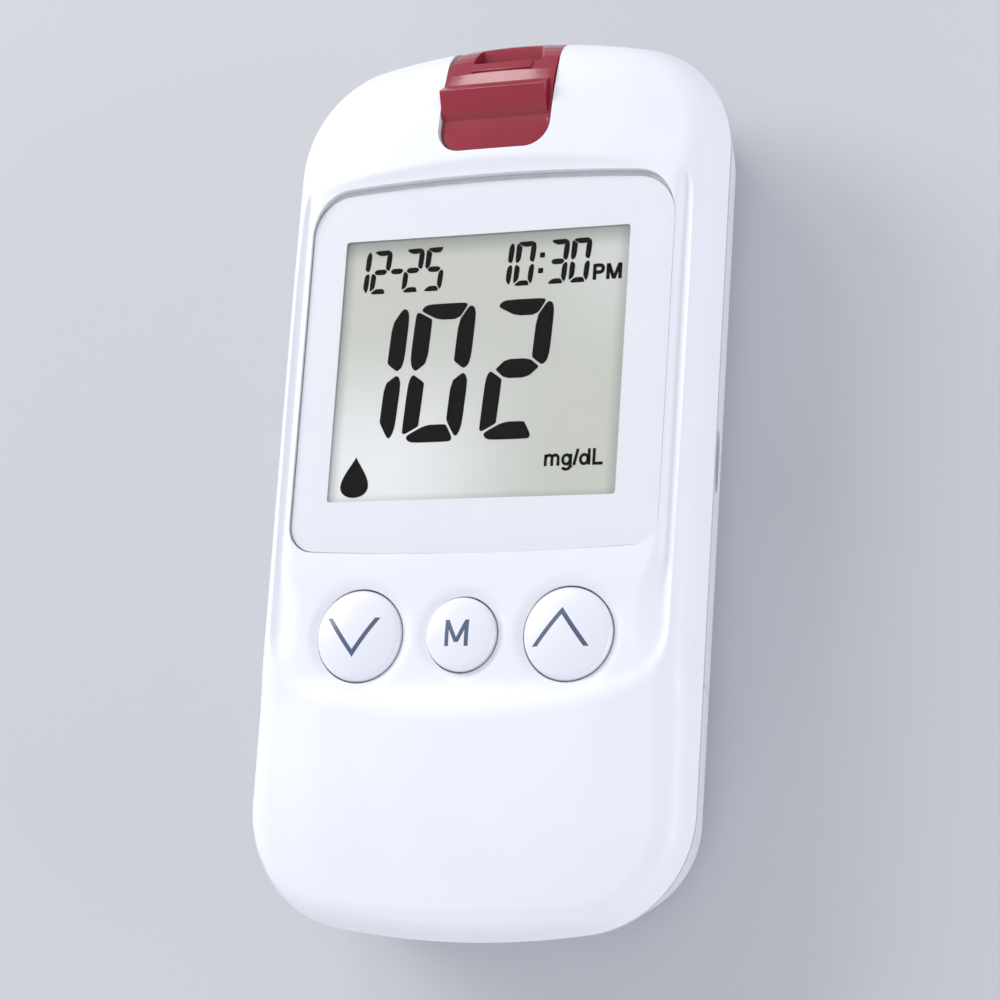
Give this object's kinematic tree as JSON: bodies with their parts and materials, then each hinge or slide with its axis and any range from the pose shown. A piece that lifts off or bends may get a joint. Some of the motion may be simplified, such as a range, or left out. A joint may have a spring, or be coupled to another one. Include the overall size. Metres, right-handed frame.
{
  "type": "blood glucose meter",
  "caption": "Hand-held blood glucose meter: white two-part casing, large display, round keys, crimson strip ejector, slide-off battery door.",
  "frame": {"origin": "middle of the flat back's footprint, with the meter lying on its back", "axes": "+X to the user's right, +Y towards the test-strip end, +Z out of the display"},
  "size_m": [0.049, 0.0954, 0.0185],
  "materials": {
    "casing_white": "gloss",
    "rear_white": "gloss",
    "clear_lens": "gloss",
    "printed_border": "gloss",
    "display_glass": "gloss",
    "holder_grey": "satin",
    "striped_rubber": "matte",
    "key_white": "gloss",
    "silicone": "matte",
    "crimson": "gloss",
    "spring_steel": "satin",
    "gold_plate": "polished",
    "connector_black": "matte",
    "board_green": "satin",
    "ceramic_tan": "satin",
    "cell_jacket": "gloss"
  },
  "bodies": {
    "meter_body": {"front_housing": "casing_white", "rear_housing": "rear_white", "display_lens": "clear_lens", "lens_border": "printed_border", "lcd_glass": "display_glass", "lcd_holder": "holder_grey", "zebra_strip": "striped_rubber", "keypad_mat": "silicone", "key_bell_down": "silicone", "key_bell_mode": "silicone", "key_bell_up": "silicone", "ejector_spring": "spring_steel", "battery_bridge_contact": "spring_steel", "battery_positive_contact": "spring_steel", "battery_negative_contact": "spring_steel", "housing_screws": "spring_steel", "board_screws": "spring_steel", "timing_crystal": "spring_steel", "strip_contacts": "gold_plate", "strip_connector": "connector_black", "data_jack": "connector_black", "buzzer": "connector_black", "meter_chip": "connector_black", "main_board": "board_green", "capacitors": "ceramic_tan", "battery_cell_left": "cell_jacket", "battery_cell_right": "cell_jacket"},
    "key_down": {"key_down": "key_white"},
    "key_mode": {"key_mode": "key_white"},
    "key_up": {"key_up": "key_white"},
    "ejector": {"ejector_slide": "crimson"},
    "battery_door": {"battery_door": "rear_white"}
  },
  "joints": [
    {"name": "key_down_press", "type": "slide", "parent": "meter_body", "child": "key_down", "axis": [0, 0, -1], "range_m": [0, 0.0007], "stiffness_N_per_m": 500, "springref_m": -0.0004, "deforming": ["key_bell_down"]},
    {"name": "key_mode_press", "type": "slide", "parent": "meter_body", "child": "key_mode", "axis": [0, 0, -1], "range_m": [0, 0.0007], "stiffness_N_per_m": 500, "springref_m": -0.0004, "deforming": ["key_bell_mode"]},
    {"name": "key_up_press", "type": "slide", "parent": "meter_body", "child": "key_up", "axis": [0, 0, -1], "range_m": [0, 0.0007], "stiffness_N_per_m": 500, "springref_m": -0.0004, "deforming": ["key_bell_up"]},
    {"name": "ejector_push", "type": "slide", "parent": "meter_body", "child": "ejector", "axis": [0, 1, 0], "range_m": [0, 0.004], "stiffness_N_per_m": 60, "springref_m": -0.002, "deforming": ["ejector_spring"]},
    {"name": "battery_door_slide", "type": "slide", "parent": "meter_body", "child": "battery_door", "axis": [0, -1, 0], "range_m": [0, 0.06]}
  ]
}
